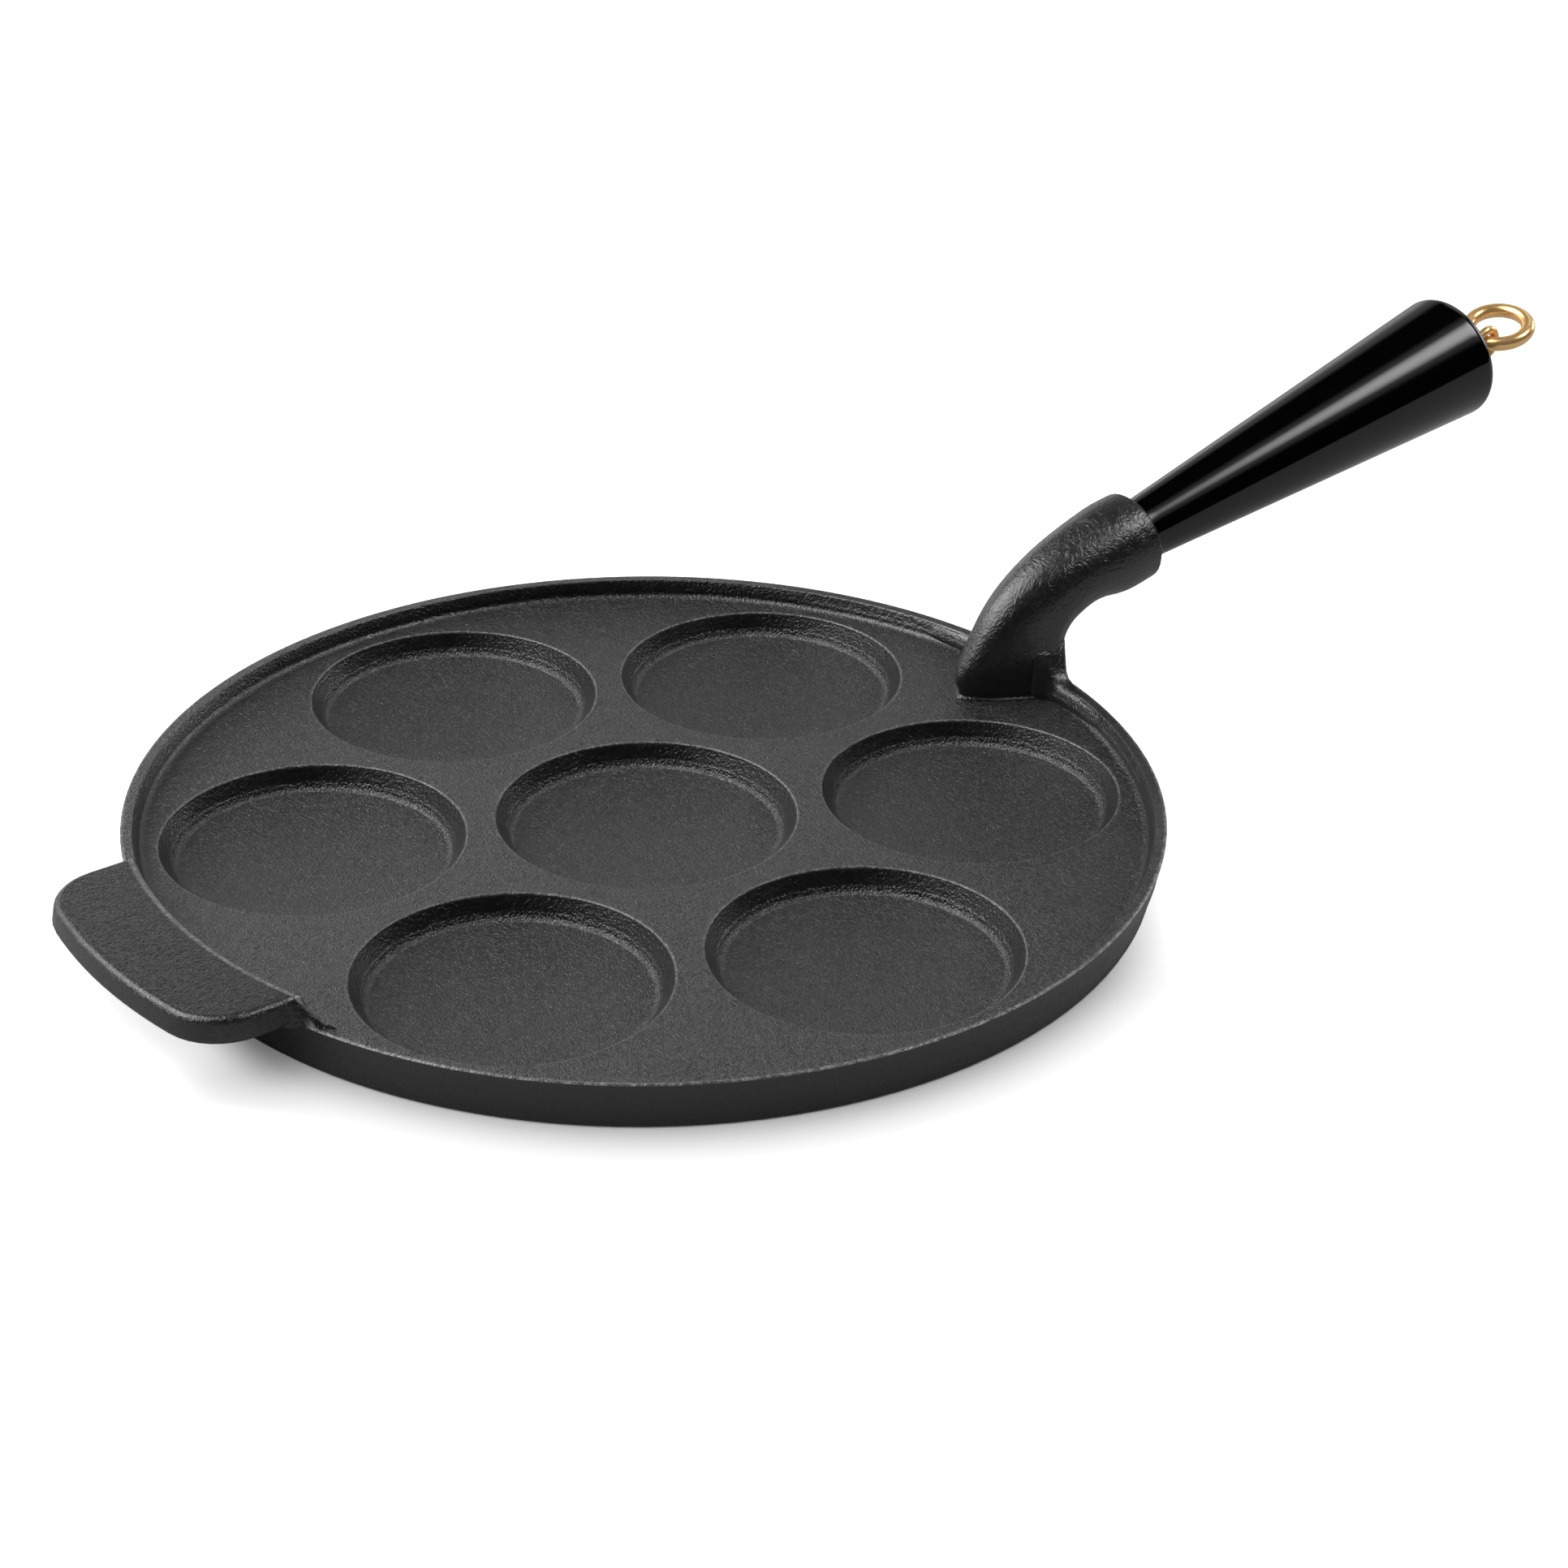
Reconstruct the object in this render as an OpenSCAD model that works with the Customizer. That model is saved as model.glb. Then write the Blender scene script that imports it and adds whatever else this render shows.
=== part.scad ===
// Blini pan: cast iron, seven shallow wells, helper tab and socketed handle.
// The underside rests on z = 0, the pan's axis is Z and the handle runs along +X.

/* [Pan] */
// Outer diameter over the top of the rim
pan_d = 230; // [228:1:236]
// Height of the rim's top above the underside
rim_h = 12; // [11.4:0.2:16]
// Width of the rim's flat top
rim_w = 2.8; // [2:0.1:4]
// Height of the plate between the wells
plate_t = 8; // [7:0.2:9]
// How far the wall leans inward from the rim to the underside
wall_lean = 2.4; // [1:0.1:4]
// Radius where the rim's inner wall meets the plate
rim_fillet = 1.8; // [1:0.1:2.4]

/* [Wells] */
// Diameter of a well at its lip
well_d = 66.4; // [60:0.2:68]
// Depth of a well below the plate
well_depth = 4.7; // [3.5:0.1:5.2]
// Distance from the pan's axis to the outer wells
well_pitch = 73.7; // [72:0.1:74.5]
// Turn of the ring of wells against the handle, in degrees
well_turn = 2.3; // [-5:0.1:5]
// Inward lean of a well's wall over its depth
well_lean = 2.2; // [1:0.1:3]
// Radius between a well's wall and its floor
well_fillet = 2; // [1:0.1:2.6]
// Rounding of a well's lip
lip_r = 0.7; // [0.4:0.1:1]

/* [Helper tab] */
// Width of the tab across its top
tab_w = 70; // [56:1:80]
// How far the tab's top reaches beyond the rim
tab_reach = 19.7; // [17:0.2:28]
// Height of the tab's top above the rim
tab_rise = 6; // [4:0.2:8]
// Radius of the tab's outer corners
tab_corner = 14; // [10:0.5:16]
// Width of the ramp that runs each side of the tab down to the rim
tab_ramp = 6.5; // [4:0.5:9]
// Rounding of the tab's edges
tab_edge = 1.6; // [0.8:0.1:2.2]

/* [Neck] */
// Distance from the pan's axis to the end of the socket
socket_x = 144.4; // [140:0.2:150]
// Height of the socket's end, on its axis
socket_z = 37.1; // [34:0.2:42]
// Upward tilt of the socket and handle, in degrees
tilt = 11.1; // [8:0.1:14]
// Outer diameter of the socket
socket_d = 22.2; // [21:0.1:26]
// Depth of the socket's bore
socket_depth = 20; // [14:0.5:22]
// How far the casting's parting line stands proud
flash = 0.3; // [0:0.05:0.5]
// Distance from the pan's axis to the tip of the neck's foot
foot_x = 93; // [92:0.5:96]

/* [Handle] */
// Handle's visible length, from the socket to its end
grip_len = 111; // [90:1:140]
// Handle's diameter where it leaves the socket
grip_d0 = 14.8; // [13:0.1:15.6]
// Handle's diameter at its end
grip_d1 = 31.5; // [26:0.2:36]
// Rounding of the handle's end
grip_round = 3; // [1.5:0.1:4]
// Clearance round what fits in a bore
fit_gap = 0.15; // [0.1:0.05:0.3]

/* [Eye and ring] */
// Diameter of the rod and of its eye's wire
rod_d = 2.4; // [2.2:0.1:3]
// Distance from the handle's end to the eye's centre, along the handle
eye_reach = 12.8; // [11:0.1:16]
// How far the eye's centre hangs below the rod's axis
eye_drop = 2.6; // [0:0.1:3]
// Diameter of the collar that bears on the handle's end
collar_d = 8; // [6:0.5:12]
// Thickness of the collar
collar_t = 2; // [1.5:0.1:3]
// Depth of the rod's seat in the neck, below the socket's bore
rod_seat = 10; // [6:0.5:12]
// Diameter of the ring's wire
ring_wire = 3.7; // [2.8:0.1:4]
// Diameter of the ring, measured at the middle of its wire
ring_d = 15.2; // [14:0.2:22]
// Clearance of the ring's wire in the eye
ring_gap = 0.2; // [0.2:0.05:0.6]
// Rise of the ring above level, in degrees
ring_rise = 15; // [0:1:40]
// Sideways turn of the ring, in degrees
ring_turn = 20; // [0:1:20]

/* [Hidden] */

iron = "#3b3b3c";
gloss_black = "#101011";
brass = "#c9974a";

pan_r = pan_d / 2;
base_edge = 1.2;
tab_seat = 0.1;
gusset_turn = 12;
well_count = 6;
tab_z = rim_h + tab_rise;
grip_r0 = grip_d0 / 2;
grip_r1 = grip_d1 / 2;
socket_r = socket_d / 2;
bore_r = grip_r0 + fit_gap;
rod_r = rod_d / 2;
eye_r = ring_wire / 2 + ring_gap + rod_r;

// Puts children, drawn along +Z, on the handle's axis with the socket's end as their origin
module on_axis() {
    translate([socket_x, 0, socket_z]) rotate([0, 90 - tilt, 0]) children();
}

// Points of an arc about a centre
function arc(cx, cy, r, a0, a1, steps) =
    [for (i = [0:steps]) let (a = a0 + (a1 - a0) * i / steps) [cx + r * cos(a), cy + r * sin(a)]];

// The end face of a ring of n points, whole or split: "flat" is one face, "fan" is split from
// the first point, and "strips" joins each point of an inner edge to its fellow on the outer edge
function end_face(n, kind) =
    kind == "fan" ? [for (i = [1:n - 2]) [0, i, i + 1]]
    : kind == "strips" ? [for (k = [0:n / 4 - 1]) each [
        [k, k + 1, n / 2 - k - 1, n / 2 - k], [(n - k) % n, n / 2 + k, n / 2 + k + 1, n - k - 1]]]
    : [[for (i = [0:n - 1]) i]];

// A closed solid through a list of rings that all have the same number of points
module loft(rings, ends = "flat") {
    n = len(rings[0]);
    m = len(rings);
    polyhedron(
        points = [for (r = rings) each r],
        faces = concat(
            end_face(n, ends),
            [for (k = [0:m - 2], i = [0:n - 1]) let (j = (i + 1) % n)
                [k * n + i, (k + 1) * n + i, (k + 1) * n + j, k * n + j]],
            [for (f = end_face(n, ends)) [for (q = [len(f) - 1:-1:0]) (m - 1) * n + f[q]]]));
}

// Section of the plate, wall and rim, revolved about the pan's axis
module pan_disc() {
    foot_r = pan_r - wall_lean;
    wall_in = pan_r - rim_w;
    wall_foot = wall_in - (rim_h - plate_t) * 0.2;
    section = concat(
        [[0, 0]],
        arc(foot_r - base_edge, base_edge, base_edge, -90, 0, 5),
        [for (d = [-0.5, 0, 0.5]) [foot_r + wall_lean * (0.55 + d / rim_h) + (d == 0 ? flash * 0.3 : 0), rim_h * 0.55 + d]],
        [[pan_r - 0.1, rim_h - 0.6], [pan_r, rim_h - 0.3], [pan_r - 0.3, rim_h]],
        [[wall_in + 0.3, rim_h], [wall_in, rim_h - 0.3]],
        arc(wall_foot - rim_fillet, plate_t + rim_fillet, rim_fillet, 0, -90, 6),
        [[0, plate_t]]);
    rotate_extrude($fn = 180) polygon(section);
}

// Cutter for one well: a shallow dish with a rounded lip and a filleted floor
module well_cutter() {
    lip = well_d / 2;
    floor_z = plate_t - well_depth;
    floor_r = lip - well_lean;
    section = concat(
        [[0, floor_z]],
        arc(floor_r - well_fillet, floor_z + well_fillet, well_fillet, -90, -12, 6),
        arc(lip + lip_r, plate_t - lip_r, lip_r, 168, 90, 4),
        [[lip + lip_r, rim_h], [0, rim_h]]);
    rotate_extrude($fn = 120) polygon(section);
}

module wells() {
    well_cutter();
    for (i = [0:well_count - 1])
        rotate([0, 0, well_turn + (i + 0.5) * 360 / well_count])
            translate([well_pitch, 0, 0]) well_cutter();
}

// One level of the helper tab: inner arc on the rim, straight sides, rounded corners, outer arc
function tab_level(z, inner_r, inset) =
    let (
        half = tab_w / 2 - inset,
        outer_r = pan_r + tab_reach - inset,
        c = tab_corner - inset,
        cy = half - c,
        cx = sqrt(pow(outer_r - c, 2) - cy * cy),
        turn = atan2(cy, cx),
        in_a = asin(half / inner_r),
        side = concat(
            [for (i = [0:14]) let (a = in_a * i / 14) [-inner_r * cos(a), inner_r * sin(a)]],
            [for (i = [0:8]) let (a = 90 - (90 - turn) * i / 8) [-(cx + c * cos(a)), cy + c * sin(a)]],
            [for (i = [5:-1:1]) let (a = turn * i / 6) [-outer_r * cos(a), outer_r * sin(a)]]),
        n = len(side))
    concat(
        [for (p = side) [p[0], p[1], z]],
        [[-outer_r, 0, z]],
        [for (i = [n - 1:-1:1]) [side[i][0], -side[i][1], z]]);

// One slice of a ramp beside the tab, at a distance r from the pan's axis; the inner slice
// leans with the tab's inner face
function ramp_slice(r, reach, lean) =
    let (
        top = tab_w / 2 - tab_edge * 0.5,
        rise = tab_rise - tab_edge * 0.4,
        low = r < pan_r - 1 ? rim_h - 2 : rim_h - tab_seat,
        pts = concat(
            [[top - 3, low], [top - 3, rim_h + rise - 1], [top, rim_h + rise]],
            [for (t = [0.15, 0.35, 0.6, 0.85, 1]) [top + reach * t, rim_h + rise * (1 - t * (1.35 - 0.35 * t)) - tab_seat * t / 2]],
            [[top + reach, low]]))
    [for (p = pts) let (q = r + lean * (p[1] - rim_h)) [-sqrt(q * q - p[0] * p[0]), p[0], p[1]]];

module ramp() {
    in_r = pan_r - rim_w + 0.2;
    loft([for (t = [0:0.2:1]) ramp_slice(in_r + rim_w * 1.9 * t, 0.4 + tab_ramp * pow(1 - t, 1.2), 0.36 * (1 - t))], "fan");
}

// The raised tab opposite the handle, with a ramp down to the rim on each side and a hidden
// gusset below
module helper_tab() {
    low = rim_h - tab_seat;
    in_low = pan_r - rim_w;
    e = tab_edge;
    loft(concat(
        [for (a = [0, 30, 60]) tab_level(low + e * (1 - cos(a)), in_low, e * (1 - sin(a)))],
        [tab_level(low + e, in_low, 0)],
        [for (a = [0, 25, 50, 72, 90]) tab_level(tab_z - e * (1 - sin(a)),
            in_low + 1.2 + 1.2 * (1 - cos(a)), 0.5 + e * (1 - cos(a)))]), "strips");
    ramp();
    mirror([0, 1, 0]) ramp();
    rotate([0, 0, 180 - gusset_turn]) rotate_extrude(angle = 2 * gusset_turn, $fn = 180)
        polygon([[in_low + 1, low + 1], [in_low + 1, base_edge * 4], [pan_r - wall_lean + 0.6, base_edge * 4],
            [pan_r + 7, low + 1]]);
}

// The neck's stations from its foot to the socket: top point x and z, bottom point x and z,
// half width, how far up the widest line lies, how full the flanks are, and sideways shift
neck_stations = [
    [foot_x - 2, 3, pan_r - 1, 3, 13.4, 0.2, 1.15, 1.5],
    [foot_x - 1.4, 7.8, pan_r, 7.8, 12.5, 0.22, 1.3, 1.5],
    [foot_x - 0.6, 8.6, pan_r + 0.4, 8.6, 11.6, 0.22, 1.35, 1.5],
    [foot_x - 0.5, 9.6, pan_r + 1, 9.6, 11.2, 0.23, 1.4, 1.5],
    [foot_x - 1.7, 13.2, pan_r + 3, 12.5, 10.5, 0.25, 1.6, 1.3],
    [foot_x + 1, 19.3, pan_r + 4.8, 16.5, 9.5, 0.29, 1.9, 0.5],
    [foot_x + 6.6, 28.3, pan_r + 5.8, 20.2, 9.2, 0.34, 2, 0.2],
    [foot_x + 14.2, 35.2, pan_r + 8.9, 22.9, 9.3, 0.42, 2, 0],
    [foot_x + 25.3, 41.1, pan_r + 15, 24.9, 9.9, 0.48, 2, 0]];

// Slices of the web that spreads the neck's root along the rim: angle about the pan's axis,
// inner distance from the pan's edge, height above the rim's top and outer distance
web_slices = [
    [3, -8, 10, 2.7],
    [4, -8, 8.8, 1.8],
    [4.8, -7.8, 6.8, 0.8],
    [5.4, -7, 4.8, 0.2],
    [5.9, -5.9, 2.9, -0.2],
    [6.6, -4.9, 1.2, -0.3],
    [7.8, -4.2, 0.3, -0.3],
    [11, -3.7, 0.05, -0.3],
    [16, -3.1, -0.2, -0.4]];

socket_end = [
    socket_x - socket_r * sin(tilt), socket_z + socket_r * cos(tilt),
    socket_x + socket_r * sin(tilt), socket_z - socket_r * cos(tilt), socket_r, 0.5, 2, 0];

function along(s, d) = [for (i = [0:7]) s[i] - (i == 0 || i == 2 ? d * cos(tilt) : i < 4 ? d * sin(tilt) : 0)];

neck_keys = concat(neck_stations, [along(socket_end, 9), along(socket_end, 0.9)]);

// Smooth value between four neighbouring stations
function blend4(a, b, c, d, t) =
    b + t * (c - a) / 2 + t * t * (a - 2.5 * b + 2 * c - d / 2) + t * t * t * (1.5 * (b - c) + (d - a) / 2);

// Half of a rounded section, from the widest line up over the top
function upper_arc(s) =
    [for (i = [0:9]) let (t = 90 * i / 9) [s[4] * pow(cos(t), 2 / s[6]), s[5] + (1 - s[5]) * pow(sin(t), 2 / s[6])]];

// Half of a rounded section, from the widest line down under the bottom
function lower_arc(s) = [for (i = [0:9]) let (t = 90 * i / 9) [s[4] * cos(t), s[5] * (1 - sin(t))]];

function mirrored(pts) = [for (i = [len(pts) - 1:-1:0]) [-pts[i][0], pts[i][1]]];

// A section in space, with the casting's parting line standing proud at its widest points
function section_ring(s) =
    let (
        up = upper_arc(s),
        low = lower_arc(s),
        pts = concat(
            [[up[0][0] + flash, up[0][1]]],
            [for (i = [1:9]) up[i]],
            [for (i = [1:8]) mirrored(up)[i]],
            [[-up[0][0] - flash, up[0][1]]],
            [for (i = [1:9]) [-low[i][0], low[i][1]]],
            [for (i = [1:8]) [-mirrored(low)[i][0], mirrored(low)[i][1]]]))
    [for (p = pts) [s[2] + (s[0] - s[2]) * p[1], p[0] + s[7], s[3] + (s[1] - s[3]) * p[1]]];

// Sections through a list of stations, with smooth ones in between
function sections(keys, steps) =
    let (last = len(keys) - 1)
    concat(
        [for (k = [0:last - 1], j = [0:steps - 1])
            section_ring([for (q = [0:7])
                blend4(keys[max(k - 1, 0)][q], keys[k][q], keys[k + 1][q], keys[min(k + 2, last)][q], j / steps)])],
        [section_ring(keys[last])]);

module neck_body() {
    loft(concat(sections(neck_keys, 4), [section_ring(rounded_end())]));
    web();
    mirror([0, 1, 0]) web();
}

// One slice of the web, on a plane through the pan's axis
function web_slice(w) =
    let (
        in_r = pan_r + w[1],
        out_r = pan_r + w[3],
        top = rim_h + w[2],
        pts = [[in_r - 1, plate_t - 2], [in_r - 0.7, plate_t + 1], [in_r - 0.3, top - 1.4], [in_r + 0.5, top - 0.5],
            [in_r + 1.8, top - 0.1], [out_r - 0.9, top], [out_r - 0.3, top - 0.3], [out_r, top - 0.9],
            [out_r - 0.2, top - 2], [pan_r - 0.9, plate_t + 0.5], [pan_r - 1.5, plate_t - 2]])
    [for (p = pts) [p[0] * cos(w[0]), p[0] * sin(w[0]), p[1]]];

// The web on one side, from its hidden start in the neck
module web() {
    loft([for (w = web_slices) web_slice(w)], "fan");
}

// The socket's end, a little smaller than the ring before it, which rounds its edge
function rounded_end() =
    let (r = socket_r - 0.9)
    [socket_x - r * sin(tilt), socket_z + r * cos(tilt), socket_x + r * sin(tilt), socket_z - r * cos(tilt), r, 0.5, 2, 0];

// The whole casting: plate, rim, wells, tab and neck in one piece
module pan_casting() {
    color(iron) difference() {
        union() {
            difference() {
                pan_disc();
                wells();
            }
            helper_tab();
            neck_body();
        }
        on_axis() translate([0, 0, -socket_depth]) cylinder(r = bore_r, h = socket_depth + 1, $fn = 72);
        on_axis() translate([0, 0, -socket_depth - rod_seat])
            cylinder(r = rod_r + fit_gap, h = rod_seat + 1, $fn = 48);
    }
}

// Turned handle: a straight tenon in the socket, a long taper and a rounded end
module handle_grip() {
    tenon = socket_depth - fit_gap;
    slope = atan2(grip_r1 - grip_r0, grip_len);
    end_r = grip_r1 - grip_round;
    section = concat(
        [[rod_r + fit_gap, -tenon], [grip_r0 - 0.6, -tenon], [grip_r0, -tenon + 0.6], [grip_r0, 0]],
        arc(end_r, grip_len - grip_round, grip_round, -slope, 90, 7),
        [[rod_r + fit_gap, grip_len]]);
    color(gloss_black) on_axis() rotate_extrude($fn = 96) polygon(section);
}

// Puts children, drawn level with the eye's centre as their origin, at the handle's end
module at_eye() {
    on_axis() translate([eye_drop, 0, grip_len + eye_reach]) rotate([0, tilt - 90, 0])
        rotate([0, 0, ring_turn]) children();
}

// Rod through the handle, with its collar, and its end bent round into an eye
module eye_rod() {
    start = -socket_depth - rod_seat + fit_gap;
    reach = grip_len + eye_reach - sqrt(eye_r * eye_r - eye_drop * eye_drop);
    color(brass) {
        on_axis() {
            translate([0, 0, start]) cylinder(r = rod_r, h = reach - start, $fn = 32);
            translate([0, 0, grip_len]) cylinder(r = collar_d / 2, h = collar_t, $fn = 48);
        }
        at_eye() rotate([90, 0, 0]) rotate_extrude($fn = 48) translate([eye_r, 0]) circle(r = rod_r, $fn = 32);
    }
}

// Loose ring through the eye
module hanging_ring() {
    color(brass) at_eye() rotate([0, -ring_rise, 0]) translate([ring_d / 2, 0, 0])
        rotate_extrude($fn = 72) translate([ring_d / 2, 0]) circle(r = ring_wire / 2, $fn = 32);
}

pan_casting();
handle_grip();
eye_rod();
hanging_ring();
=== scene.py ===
import math

import bpy
from mathutils import Matrix, Vector


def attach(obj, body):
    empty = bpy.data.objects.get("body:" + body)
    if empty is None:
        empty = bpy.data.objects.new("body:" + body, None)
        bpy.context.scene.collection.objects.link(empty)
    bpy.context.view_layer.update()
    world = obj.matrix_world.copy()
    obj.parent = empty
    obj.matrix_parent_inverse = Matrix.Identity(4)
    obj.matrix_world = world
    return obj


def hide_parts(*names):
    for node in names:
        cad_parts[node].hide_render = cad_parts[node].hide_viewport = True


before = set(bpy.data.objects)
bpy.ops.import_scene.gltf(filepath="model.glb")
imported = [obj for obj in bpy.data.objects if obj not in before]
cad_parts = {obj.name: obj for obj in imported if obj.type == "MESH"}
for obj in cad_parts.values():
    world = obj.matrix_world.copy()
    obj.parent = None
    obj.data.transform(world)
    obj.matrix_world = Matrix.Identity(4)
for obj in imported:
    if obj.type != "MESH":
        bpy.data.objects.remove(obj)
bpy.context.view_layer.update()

# One millimetre in metres
MM = 0.001

# Sizes in millimetres, as in the part's source
RIM_R = 115.0
RIM_TOP = 12.0
PLATE_TOP = 8.0
WELL_R = 33.2
WELL_DEPTH = 4.7
WELL_LEAN = 2.2
WELL_PITCH = 73.7
WELL_COUNT = 6
WELL_TURN = math.radians(2.3)
NECK_FOOT_X = 93.0
SOCKET_END = Vector((144.4, 0, 37.1))
TILT = math.radians(11.1)
GRIP_LEN = 111.0
GRIP_THIN_R = 7.4
GRIP_THICK_R = 15.75
GRIP_ROUND = 3.0
EYE_REACH = 12.8
EYE_DROP = 2.6
COLLAR_R = 4.0
COLLAR_T = 2.0
WIRE_R = 1.2
RING_R = 7.6
RING_WIRE_R = 1.85
RING_TURN = math.radians(20)
RING_RISE = math.radians(15)

# Sizes of the visual model alone; the eye is turned as it reads in the photograph
EYE_R = 3.4
EYE_TURN = math.radians(5)
TENON_LEN = 19.8
TENON_EDGE = 0.6
DISH_DEPTH = 0.3
ROD_HOLE_R = 1.35
TAB_ROOT_X = -80.0
FLOOR_SIDE = 12000.0

# Places and directions that follow from these sizes
WELL_FLOOR = PLATE_TOP - WELL_DEPTH
WELL_FOOT_R = WELL_R - WELL_LEAN
WELLS_END = WELL_PITCH + WELL_R
ALONG = Vector((math.cos(TILT), 0, math.sin(TILT)))
DOWN_FROM_AXIS = Vector((math.sin(TILT), 0, -math.cos(TILT)))
HANDLE_AXIS = Matrix.Translation(SOCKET_END * MM) @ Matrix.Rotation(math.pi / 2 - TILT, 4, "Y")
ABOVE_EYE = SOCKET_END + ALONG * (GRIP_LEN + EYE_REACH)
EYE = ABOVE_EYE + DOWN_FROM_AXIS * EYE_DROP


# Modelling

def deselect():
    bpy.ops.object.select_all(action="DESELECT")


def pick(piece):
    deselect()
    piece.select_set(True)
    bpy.context.view_layer.objects.active = piece


def settle(piece, matrix):
    """Puts a piece in its place and works that place into its mesh."""
    pick(piece)
    piece.matrix_world = matrix
    bpy.ops.object.transform_apply(location=True, rotation=True, scale=True)


def smooth(piece, angle):
    pick(piece)
    bpy.ops.object.shade_smooth_by_angle(angle=math.radians(angle))


def even_normals(piece):
    """Large flat faces keep their true normal beside small rounded ones."""
    pick(piece)
    bpy.ops.object.modifier_add(type="WEIGHTED_NORMAL")
    piece.modifiers[-1].keep_sharp = True
    bpy.ops.object.modifier_apply(modifier=piece.modifiers[-1].name)


def turned(name, profile, segments):
    """A turned form: a circle extruded from one (radius, height) of the profile to the next."""
    first_radius, first_height = profile[0]
    deselect()
    bpy.ops.mesh.primitive_circle_add(vertices=segments, radius=first_radius * MM, fill_type="NOTHING",
                                      location=(0, 0, 0))
    piece = bpy.context.object
    piece.name = name
    bpy.ops.object.mode_set(mode="EDIT")
    bpy.ops.mesh.select_all(action="SELECT")
    bpy.ops.transform.translate(value=(0, 0, first_height * MM))
    for (radius, height), (next_radius, next_height) in zip(profile, profile[1:]):
        rise = (0, 0, (next_height - height) * MM)
        growth = next_radius / radius
        bpy.ops.mesh.extrude_region_move(TRANSFORM_OT_translate={"value": rise})
        bpy.ops.transform.resize(value=(growth, growth, 1), center_override=(0, 0, next_height * MM))
    bpy.ops.mesh.select_all(action="SELECT")
    bpy.ops.mesh.normals_make_consistent(inside=False)
    bpy.ops.object.mode_set(mode="OBJECT")
    return piece


def rounded(centre_r, centre_z, radius, start, end, steps):
    """Profile points of an arc, in degrees from the outward direction."""
    angles = [math.radians(start + (end - start) * step / steps) for step in range(steps + 1)]
    return [(centre_r + radius * math.cos(angle), centre_z + radius * math.sin(angle)) for angle in angles]


def cast_body():
    """The casting's own solid, with its triangles merged so that its curves shade smoothly."""
    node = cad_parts["pan_casting"]
    piece = node.copy()
    piece.data = node.data.copy()
    piece.name = "casting"
    for key in list(piece.keys()):
        del piece[key]
    piece.parent = None
    bpy.context.scene.collection.objects.link(piece)
    pick(piece)
    bpy.ops.mesh.customdata_custom_splitnormals_clear()
    bpy.ops.object.mode_set(mode="EDIT")
    bpy.ops.mesh.select_all(action="SELECT")
    bpy.ops.mesh.remove_doubles(threshold=0.02 * MM)
    bpy.ops.mesh.dissolve_degenerate(threshold=0.01 * MM)
    bpy.ops.object.mode_set(mode="OBJECT")
    smooth(piece, 34)
    even_normals(piece)
    return piece


def handle():
    """The turned grip, from its tenon in the socket to its rounded, slightly dished end."""
    tenon = [(GRIP_THIN_R - TENON_EDGE, -TENON_LEN), (GRIP_THIN_R, TENON_EDGE - TENON_LEN),
             (GRIP_THIN_R, -0.4)]
    slope = math.degrees(math.atan2(GRIP_THICK_R - GRIP_THIN_R, GRIP_LEN))
    end = rounded(GRIP_THICK_R - GRIP_ROUND, GRIP_LEN - GRIP_ROUND, GRIP_ROUND, -slope, 90, 14)
    end_r, end_z = end[0]
    taper_rings = 24
    shares = [ring / taper_rings for ring in range(taper_rings)] + [0.97, 0.99]
    taper = [(GRIP_THIN_R + (end_r - GRIP_THIN_R) * share, end_z * share) for share in shares]
    hollow = ((11.5, 0.05), (9, 0.25), (4.6, DISH_DEPTH), (1.4, DISH_DEPTH), (ROD_HOLE_R, 4))
    dish = [(radius, GRIP_LEN - depth) for radius, depth in hollow]
    piece = turned("grip", tenon + taper + end + dish, 128)
    settle(piece, HANDLE_AXIS)
    smooth(piece, 40)
    return piece


def collar():
    """The round collar of the eye's wire, which bears on the handle's end."""
    hole_r, seat, lower_round, upper_round = 1.15, 0.1, 0.4, 0.7
    foot = [(hole_r, seat), (COLLAR_R - 2 * lower_round, seat)]
    lower_edge = rounded(COLLAR_R - lower_round, seat + lower_round, lower_round, -90, 0, 4)
    upper_edge = rounded(COLLAR_R - upper_round, COLLAR_T - upper_round, upper_round, 0, 90, 6)
    piece = turned("collar", foot + lower_edge + upper_edge + [(hole_r, COLLAR_T)], 64)
    settle(piece, HANDLE_AXIS @ Matrix.Translation((0, 0, (GRIP_LEN - DISH_DEPTH) * MM)))
    return piece


def bent_eye():
    """The wire that comes out of the handle and is bent round into an eye, with its collar."""
    swing = Vector((math.cos(EYE_TURN), math.sin(EYE_TURN), 0))
    up = Vector((0, 0, 1))
    shank = [SOCKET_END + ALONG * (GRIP_LEN + out) for out in (-3, 0, 2.5, 5, 7)]
    lead = [ABOVE_EYE - ALONG * 3.9, ABOVE_EYE - ALONG * 2.6 + up * 0.25 - swing * 0.1]
    # From just behind the eye's top, round its far side and its foot, to the side by the handle
    bends = [math.radians(112 - 14 * bend) for bend in range(22)]
    loop = [EYE + (swing * math.cos(bend) + up * math.sin(bend)) * EYE_R for bend in bends]
    points = shank + lead + loop
    deselect()
    bpy.ops.curve.primitive_nurbs_path_add(location=(0, 0, 0))
    piece = bpy.context.object
    piece.name = "eye_wire"
    path = piece.data.splines[0]
    path.points.add(len(points) - len(path.points))
    for point, place in zip(path.points, points):
        point.co = (*(place * MM), 1)
    path.order_u = 4
    path.resolution_u = 6
    piece.data.bevel_depth = WIRE_R * MM
    piece.data.bevel_resolution = 7
    piece.data.use_fill_caps = True
    pick(piece)
    bpy.ops.object.convert(target="MESH")
    piece = bpy.context.object
    stop = collar()
    pick(piece)
    stop.select_set(True)
    bpy.ops.object.join()
    smooth(piece, 40)
    return piece


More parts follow.
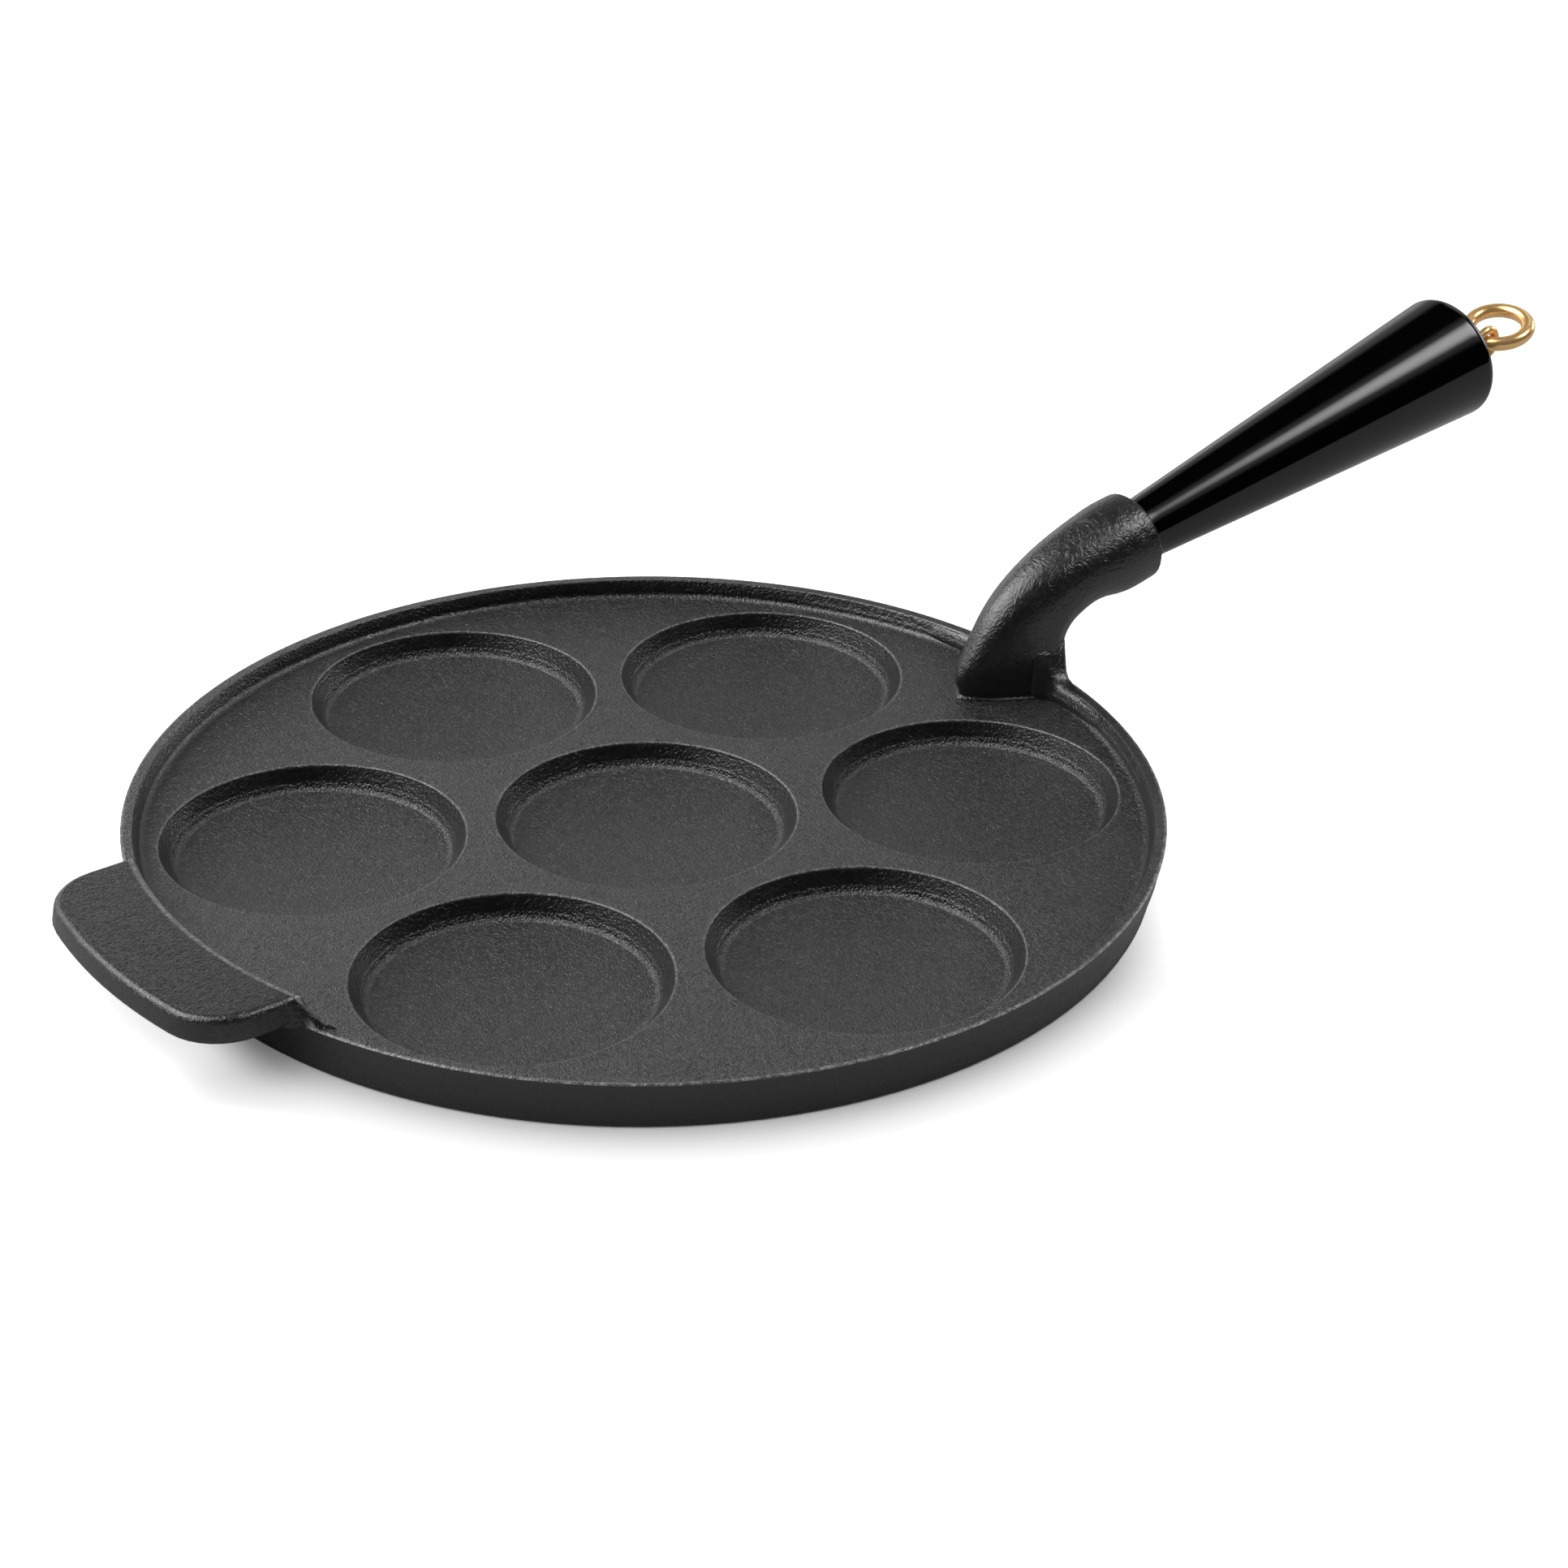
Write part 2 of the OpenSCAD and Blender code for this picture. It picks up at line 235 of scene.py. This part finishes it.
def loose_ring():
    """The ring that hangs in the eye, turned and raised as it leans on it."""
    deselect()
    bpy.ops.mesh.primitive_torus_add(major_segments=144, minor_segments=36, major_radius=RING_R * MM,
                                     minor_radius=RING_WIRE_R * MM)
    piece = bpy.context.object
    piece.name = "ring"
    lean = Matrix.Rotation(RING_TURN, 4, "Z") @ Matrix.Rotation(-RING_RISE, 4, "Y")
    settle(piece, Matrix.Translation(EYE * MM) @ lean @ Matrix.Translation((RING_R * MM, 0, 0)))
    smooth(piece, 60)
    return piece


# Finishes

class Reading:
    """A value in a finish, so that shader maths reads as plain expressions."""

    def __init__(self, finish, socket):
        self.finish = finish
        self.socket = socket

    def maths(self, operation, *others):
        return self.finish.maths(operation, self, *others)

    def __add__(self, other):
        return self.maths("ADD", other)

    def __radd__(self, other):
        return self.finish.maths("ADD", other, self)

    def __sub__(self, other):
        return self.maths("SUBTRACT", other)

    def __rsub__(self, other):
        return self.finish.maths("SUBTRACT", other, self)

    def __mul__(self, other):
        return self.maths("MULTIPLY", other)

    def __rmul__(self, other):
        return self.finish.maths("MULTIPLY", other, self)

    def __pow__(self, other):
        return self.maths("POWER", other)

    def __abs__(self):
        return self.maths("ABSOLUTE")

    def step(self, low, high):
        """0 below low, 1 above high, smooth between."""
        return self.finish.add("ShaderNodeMapRange", {"interpolation_type": "SMOOTHSTEP"},
                               {0: self, 1: low, 2: high})

    def near(self, target, within, beyond):
        """1 within one distance of the target, 0 beyond the other, smooth between."""
        return 1 - abs(self - target).step(within, beyond)


class Finish:
    """A node tree that is filled by adding nodes."""

    def __init__(self, tree):
        self.tree = tree
        tree.nodes.clear()

    def add(self, kind, settings=None, values=None, output=0):
        """Adds a node with its settings and its sockets' values or links, and gives one output."""
        node = self.tree.nodes.new(kind)
        for key, value in (settings or {}).items():
            setattr(node, key, value)
        for key, value in (values or {}).items():
            if isinstance(value, Reading):
                self.tree.links.new(value.socket, node.inputs[key])
            else:
                node.inputs[key].default_value = value
        return Reading(self, node.outputs[output]) if node.outputs else None

    def maths(self, operation, *values):
        return self.add("ShaderNodeMath", {"operation": operation}, dict(enumerate(values)))

    def split(self, vector):
        """The three parts of a vector."""
        parts = self.add("ShaderNodeSeparateXYZ", {}, {0: vector})
        return [Reading(self, socket) for socket in parts.socket.node.outputs]

    def noise(self, place, scale, detail=2.0, roughness=0.5, distortion=0.0):
        return self.add("ShaderNodeTexNoise", {}, {"Vector": place, "Scale": scale, "Detail": detail,
                                                   "Roughness": roughness, "Distortion": distortion})

    def blend(self, amount, first, second):
        """Mixes two colours. The Mix node's third output is the colour."""
        return self.add("ShaderNodeMix", {"data_type": "RGBA"}, {0: amount, 6: first, 7: second}, output=2)


def length(x, y):
    return (x * x + y * y) ** 0.5


def grey(level):
    return (level, level, level, 1)


def new_finish(name):
    material = bpy.data.materials.new(name)
    material.use_nodes = True
    return material, Finish(material.node_tree)


def surface(finish, values, height=None):
    """The shader and output, with a height in millimetres as its relief."""
    if height is not None:
        relief = {"Strength": 1.0, "Distance": MM, "Height": height}
        values["Normal"] = finish.add("ShaderNodeBump", {}, relief)
    shader = finish.add("ShaderNodeBsdfPrincipled", {}, values)
    finish.add("ShaderNodeOutputMaterial", {}, {"Surface": shader})


def place_in_mm(finish):
    """Object coordinates in millimetres."""
    metres = finish.add("ShaderNodeTexCoord", output="Object")
    return finish.add("ShaderNodeVectorMath", {"operation": "SCALE"}, {0: metres, "Scale": 1 / MM})


def cast_iron():
    """Seasoned iron with plain cast grain, rougher well walls and a ropy neck; steep walls carry painted
    shade, and painted highlights broken by glints lie along the edges.
    """
    material, iron = new_finish("seasoned iron")
    place = place_in_mm(iron)
    x, y, z = iron.split(place)
    upward = iron.split(iron.add("ShaderNodeNewGeometry", output="Normal"))[2]

    # Distance from the nearest well's centre, with the outer wells folded onto one
    from_axis = length(x, y)
    sector = 2 * math.pi / WELL_COUNT
    turns = y.maths("ARCTAN2", x) * (1 / sector) - WELL_TURN / sector
    fold = (turns - turns.maths("FLOOR") - 0.5) * sector
    outer = length(from_axis * fold.maths("COSINE") - WELL_PITCH, from_axis * fold.maths("SINE"))
    nearest = outer.maths("MINIMUM", from_axis)

    # Each part of the casting: 1 on it, 0 away from it
    on_pan = 1 - z.step(RIM_TOP + 0.5, RIM_TOP + 2)
    neck = x.step(NECK_FOOT_X - 7, NECK_FOOT_X + 3) * z.step(PLATE_TOP + 0.2, PLATE_TOP + 2.5)
    wall = (1 - abs(upward).step(0.78, 0.97)) * on_pan * (1 - neck)
    lip = nearest.near(WELL_R + 0.3, 0.15, 0.6) * z.step(PLATE_TOP - 0.6, PLATE_TOP - 0.2) * on_pan
    well_low = (1 - z.step(WELL_FLOOR + 0.9, WELL_FLOOR + 1.9)) * z.step(WELL_FLOOR - 1.3, WELL_FLOOR - 0.3)
    well_foot = nearest.near(WELL_FOOT_R - 0.6, 0.4, 1.2) * well_low
    rim_edge = from_axis.near(RIM_R - 0.2, 0.2, 0.7) * z.step(RIM_TOP - 0.6, RIM_TOP - 0.2) * on_pan
    tab_side = 1 - x.step(TAB_ROOT_X, TAB_ROOT_X + 5)
    tab = z.step(RIM_TOP + 0.2, RIM_TOP + 1.2) * tab_side
    tab_face_r = RIM_R - 2.6 + (z - RIM_TOP) * 0.37
    tab_edge = from_axis.near(tab_face_r, 0.3, 0.9) * z.step(RIM_TOP + 0.3, RIM_TOP + 0.9) * tab_side

    mottle = iron.noise(place, 0.28, 3.0, 0.6)
    grain = iron.noise(place, 1.3, 2.5, 0.6, 0.3)
    squiggle = iron.noise(place, 0.85, 2.0, 0.55, 2.2)
    speck = iron.noise(place, 2.2, 1.0)
    wrinkle = iron.noise(place, 0.42, 1.5, 0.5, 2.8)
    glint = iron.noise(place, 0.9, 2.0).step(0.46, 0.6)
    cloud = iron.noise(place, 0.035, 3.0)

    plain = squiggle * 0.42 + grain * 0.17 + mottle * 0.16
    rough = grain * 0.20 + speck * 0.12
    ropy = wrinkle * 0.19 + grain * 0.06
    height = plain * (1 - wall) * (1 - neck) * (1 - tab * 0.6)
    height = height + rough * wall + ropy * neck + speck * well_foot * 0.35

    # By this relief the wells' walls read steeper than their cone
    below_plate = z.maths("MINIMUM", PLATE_TOP) - PLATE_TOP
    height = height + below_plate * 0.4 * (1 - from_axis.step(WELLS_END - 0.1, WELLS_END + 0.5))

    # The wells' floors read slightly dished
    dish = nearest.maths("MINIMUM", WELL_FOOT_R - 1.5)
    height = height + dish * dish * 0.0015

    tone = iron.blend(cloud, (0.004, 0.004, 0.0042, 1), (0.0065, 0.0065, 0.0067, 1))
    tone = iron.blend(mottle.step(0.5, 0.75) * 0.3, tone, (0.012, 0.0118, 0.0116, 1))
    # Painted shade: steep walls are made darker
    tone = iron.blend(wall * 0.85, tone, grey(0.0015))
    # Painted highlight: a bright line along each well's lip, broken by glints
    tone = iron.blend(lip * (0.35 + glint * 0.5), tone, grey(0.09))
    # Painted highlight: bright glints along the foot of each well's wall
    tone = iron.blend(well_foot * speck.step(0.5, 0.62) * 0.5, tone, grey(0.10))
    # Painted highlight: a bright line along the rim's outer top edge, broken by glints
    tone = iron.blend(rim_edge * (0.2 + glint * 0.35), tone, grey(0.24))
    # Painted highlight: a bright line along the tab's inner top edge, broken by glints
    tone = iron.blend(tab_edge * (0.4 + glint * 0.4), tone, grey(0.16))
    gloss = 0.26 + mottle * 0.12 - (lip + rim_edge) * 0.04
    surface(iron, {"Base Color": tone, "Roughness": gloss, "IOR": 1.62}, height)
    return material


def black_lacquer():
    """Gloss black, with faint smears and a barely seen ripple."""
    material, lacquer = new_finish("black lacquer")
    place = place_in_mm(lacquer)
    smear = lacquer.noise(place, 0.09, 3.0, 0.6, 0.6)
    ripple = lacquer.noise(place, 0.12, 1.0)
    tone = lacquer.blend(smear, (0.0004, 0.0004, 0.0005, 1), grey(0.001))
    surface(lacquer, {"Base Color": tone, "Roughness": 0.05 + smear * 0.06, "IOR": 1.42}, ripple * 0.01)
    return material


def polished_brass():
    """Warm brass, a little redder and a little duller in patches."""
    material, brass = new_finish("polished brass")
    patch = brass.noise(place_in_mm(brass), 0.12, 2.0, 0.5)
    tone = brass.blend(patch, (0.80, 0.48, 0.18, 1), (0.88, 0.58, 0.27, 1))
    surface(brass, {"Base Color": tone, "Metallic": 0.72, "Roughness": 0.2 + patch * 0.06})
    return material


def pale_floor():
    """White paper, greyer where the pan sees it; for the camera it glows a little everywhere, and with
    painted light more away from the pan, on its far side and beside the tab, which wipes out the shadows
    there.
    """
    material, paper = new_finish("pale floor")
    x, y = paper.split(place_in_mm(paper))[:2]
    seen = paper.add("ShaderNodeLightPath", output="Is Camera Ray")
    tone = paper.blend(seen, grey(0.38), grey(0.8))
    # Painted light: for the camera the floor glows away from the pan, on its far side and beside the tab,
    # wiping out shadows there
    away = length(x, y).step(RIM_R + 7, RIM_R + 37)
    behind = (x * 0.62 + y * 0.785).step(-62, -12)
    beside_tab = (0 - x).step(110, 122) * y.step(-45, -12)
    beyond = away.maths("MAXIMUM", behind).maths("MAXIMUM", beside_tab)
    painted_lift = paper.blend(seen * (0.07 + beyond * 0.55), grey(0), grey(1))
    surface(paper, {"Base Color": tone, "Specular IOR Level": 0.0, "Emission Color": painted_lift,
                    "Emission Strength": 1.0})
    return material


# The pieces

brass_finish = polished_brass()
pieces = (
    (cast_body(), cast_iron(), "pan_casting", "pan", "iron"),
    (handle(), black_lacquer(), "handle_grip", "pan", "gloss_black"),
    (bent_eye(), brass_finish, "eye_rod", "pan", "brass"),
    (loose_ring(), brass_finish, "hanging_ring", "ring", "brass"),
)
for piece, finish, node, body, slot in pieces:
    piece.data.materials.clear()
    piece.data.materials.append(finish)
    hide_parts(node)
    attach(piece, body)


# Floor, light and camera

def studio():
    """White to the camera, a high dome to matt surfaces, and to gloss a dark room with soft boxes."""
    world = bpy.data.worlds.new("studio")
    bpy.context.scene.world = world
    world.use_nodes = True
    world.cycles.sampling_method = "NONE"
    room = Finish(world.node_tree)
    look = room.add("ShaderNodeTexCoord", output="Generated")
    rise = room.split(look)[2]

    def glow(direction, edge, core, strength):
        """A soft box: whole within core degrees of its direction, and gone beyond edge degrees."""
        towards = room.add("ShaderNodeVectorMath", {"operation": "DOT_PRODUCT"},
                           {0: look, 1: Vector(direction).normalized()}, output="Value")
        return towards.step(math.cos(math.radians(edge)), math.cos(math.radians(core))) * strength

    # The soft boxes, named by where they stand around the pan as the camera sees it
    core_over_handle = glow((0.46, -0.395, 0.795), 15, 0, 9.8)
    halo_over_handle = glow((0.46, -0.395, 0.795), 26, 4, 1.0)
    high_over_tab = glow((-0.56, 0.32, 0.76), 36, 17, 5.4)
    high_far_left = glow((-0.35, 0.70, 0.62), 24, 12, 3.0)
    high_past_neck = glow((0.68, 0.32, 0.66), 19, 8, 0.7)
    low_past_handle = glow((0.96, -0.03, 0.27), 16, 6, 4.2)
    far_band = glow((-0.14, 0.99, 0.0), 50, 20, 1.3) + glow((0.3, 0.9, 0.0), 80, 55, 0.2)
    low_behind = glow((0.57, 0.78, 0.25), 44, 20, 0.38)
    boxes = core_over_handle + halo_over_handle + high_over_tab + high_far_left + high_past_neck
    boxes = boxes + low_past_handle + (1 - rise.step(0.10, 0.42)) * far_band
    boxes = boxes + (1 - rise.step(0.49, 0.67)) * low_behind

    dome = 0.35 + glow((-0.2, 0.3, 0.9), 85, 20, 1.6)
    seen = room.add("ShaderNodeLightPath", output="Is Camera Ray")
    matt = room.add("ShaderNodeLightPath", output="Is Diffuse Ray")
    strength = seen + matt * dome + (1 - seen - matt) * (0.003 + boxes)
    light = room.add("ShaderNodeBackground", {}, {"Color": grey(1), "Strength": strength})
    room.add("ShaderNodeOutputWorld", {}, {"Surface": light})


def photograph_camera():
    """Stands where the photograph was taken from, with its own slight roll."""
    camera = bpy.data.objects.new("camera", bpy.data.cameras.new("camera"))
    bpy.context.scene.collection.objects.link(camera)
    bpy.context.scene.camera = camera
    camera.data.sensor_width = 36
    camera.data.lens = 79.18
    stand = Vector((-390.61, -544.71, 380.97))
    sight = Vector((0.54347, 0.68946, -0.47883)).normalized()
    across = Vector((0.79006, -0.61286, 0.01426))
    across = (across - sight * across.dot(sight)).normalized()
    facing = Matrix((across, across.cross(sight), -sight)).transposed().to_4x4()
    camera.matrix_world = Matrix.Translation(stand * MM) @ facing


deselect()
bpy.ops.mesh.primitive_plane_add(size=FLOOR_SIDE * MM, location=(0, 0, 0))
floor = bpy.context.object
floor.name = "floor"
floor.data.materials.append(pale_floor())
studio()
photograph_camera()

bpy.context.scene.view_settings.view_transform = "Standard"
